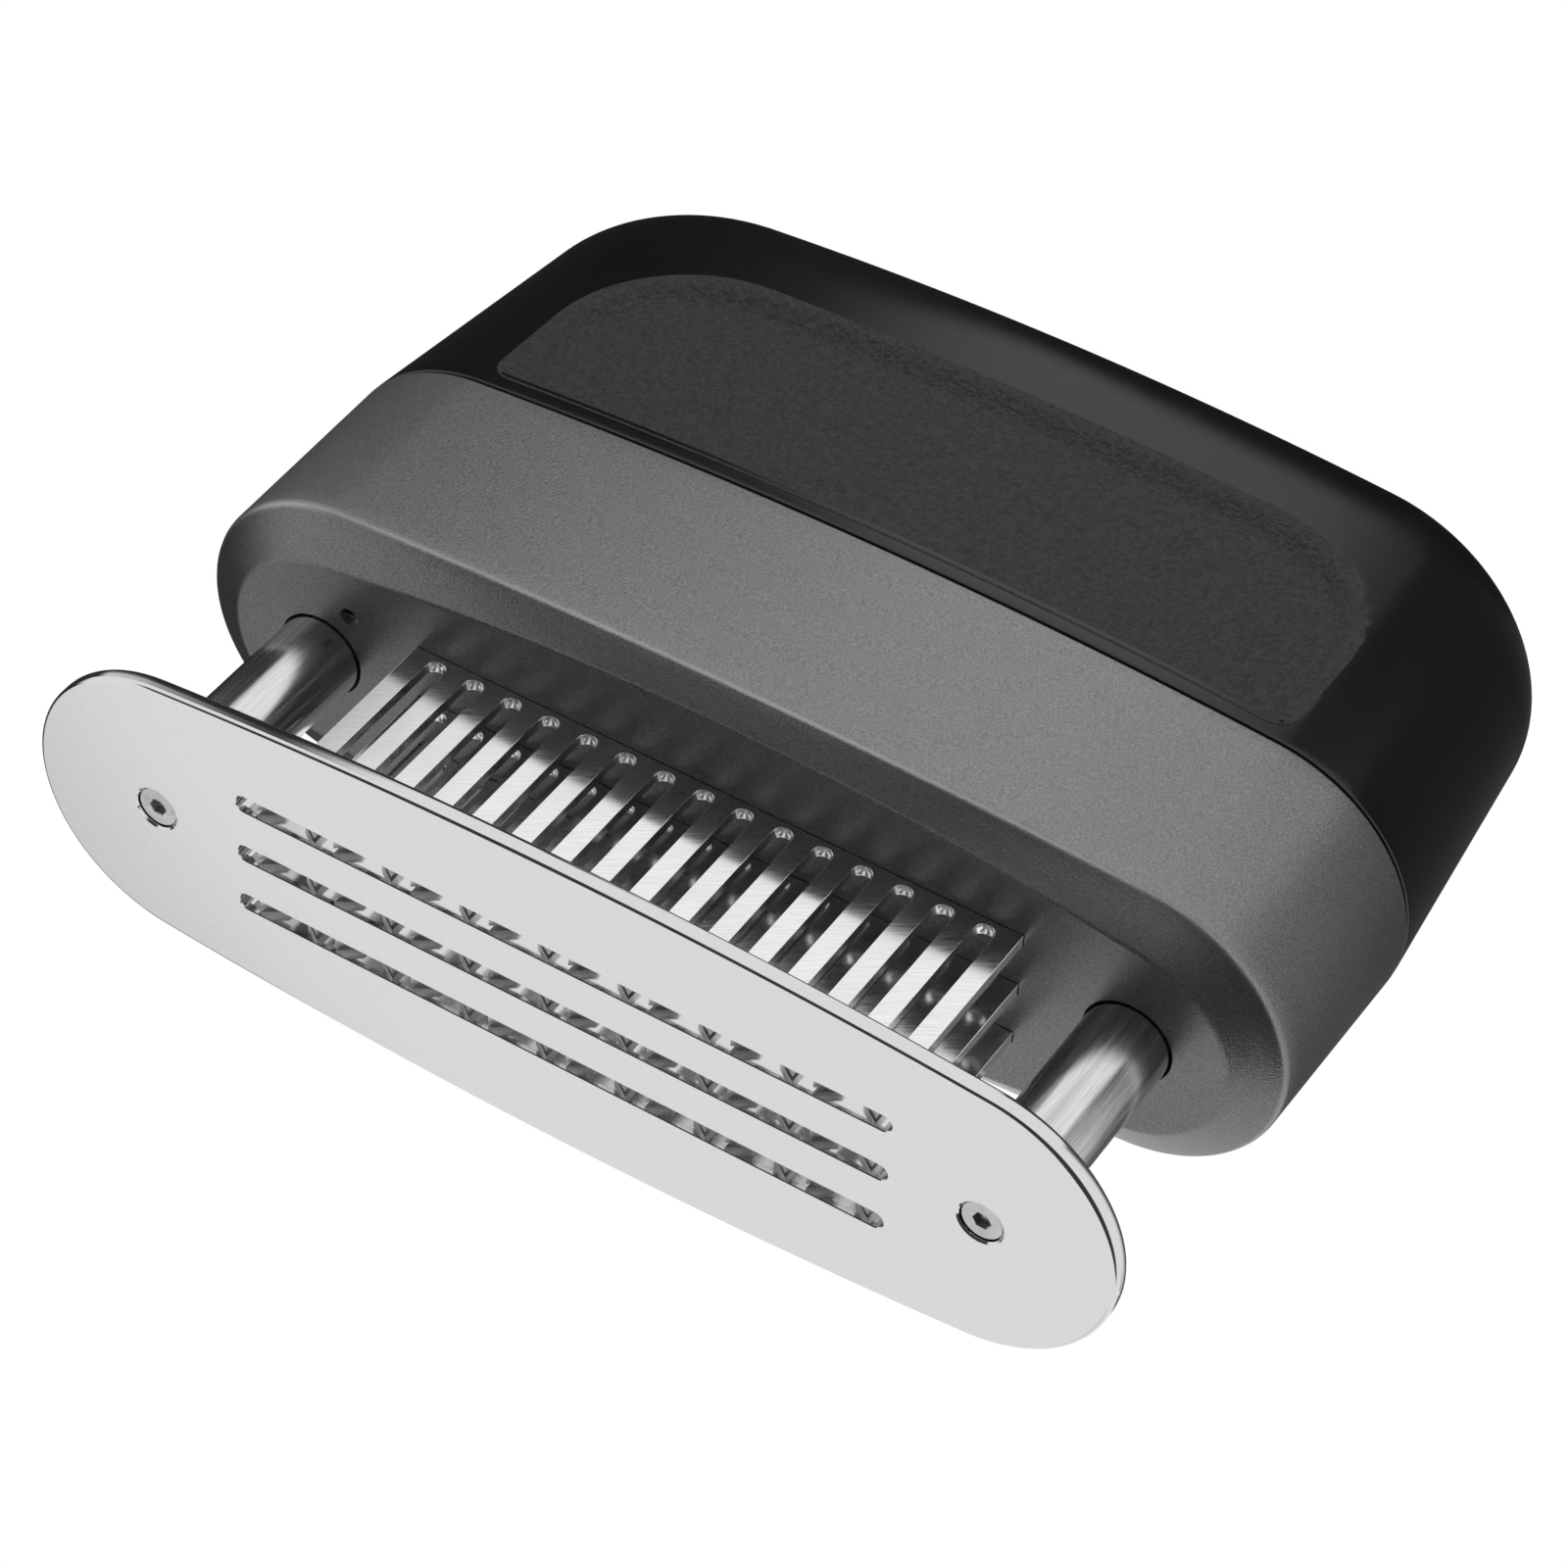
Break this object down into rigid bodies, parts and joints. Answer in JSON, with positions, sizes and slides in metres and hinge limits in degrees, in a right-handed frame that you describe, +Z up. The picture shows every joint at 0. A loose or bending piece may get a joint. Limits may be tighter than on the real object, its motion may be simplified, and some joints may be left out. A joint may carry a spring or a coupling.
{
  "type": "blade meat tenderizer",
  "caption": "Hand press meat tenderizer: rows of chisel blades behind a sprung oval guard plate on two posts, with a metal base and a soft touch handle.",
  "frame": {"origin": "middle of the guard plate's flat resting face", "axes": "+Z up from the plate to the handle, +X along the tool, -Y towards the front grip"},
  "size_m": [0.154, 0.0486, 0.12],
  "materials": {
    "base_metal": "satin dark grey with fine grain",
    "soft_black": "soft touch black",
    "grip_black": "fine leather grain",
    "gasket_black": "matte",
    "plate_steel": "polished stainless steel",
    "post_steel": "drawn and polished",
    "blade_steel": "ground stainless steel",
    "screw_steel": "turned stainless steel",
    "spring_steel": "drawn wire",
    "inner_steel": "rolled",
    "inner_plastic": "moulded",
    "bush_white": "acetal, natural"
  },
  "bodies": {
    "housing": {"base_shell": "base_metal", "base_screws": "screw_steel", "handle_shell": "soft_black", "handle_screws": "screw_steel", "grip_pad_front": "grip_black", "grip_pad_rear": "grip_black", "seam_gasket": "gasket_black", "chassis_plate": "inner_steel", "blade_comb_front": "blade_steel", "blade_comb_middle": "blade_steel", "blade_comb_rear": "blade_steel", "comb_spacer_front": "inner_plastic", "comb_spacer_rear": "inner_plastic", "clamp_bar_front": "inner_steel", "clamp_bar_rear": "inner_steel", "tie_bolts": "screw_steel", "tie_nuts": "screw_steel", "post_bush_left": "bush_white", "post_bush_right": "bush_white", "bumper_left": "gasket_black", "bumper_right": "gasket_black", "spring_cap_left": "inner_plastic", "spring_cap_right": "inner_plastic", "return_spring_left": "spring_steel", "return_spring_right": "spring_steel"},
    "guard": {"press_plate": "plate_steel", "plate_screws": "screw_steel", "guide_post_left": "post_steel", "guide_post_right": "post_steel"}
  },
  "joints": [
    {"name": "plate_slide", "type": "slide", "parent": "housing", "child": "guard", "axis": [0, 0, 1], "range_m": [0, 0.03], "stiffness_N_per_m": 1000, "springref_m": -0.02, "deforming": ["return_spring_left", "return_spring_right"]}
  ]
}
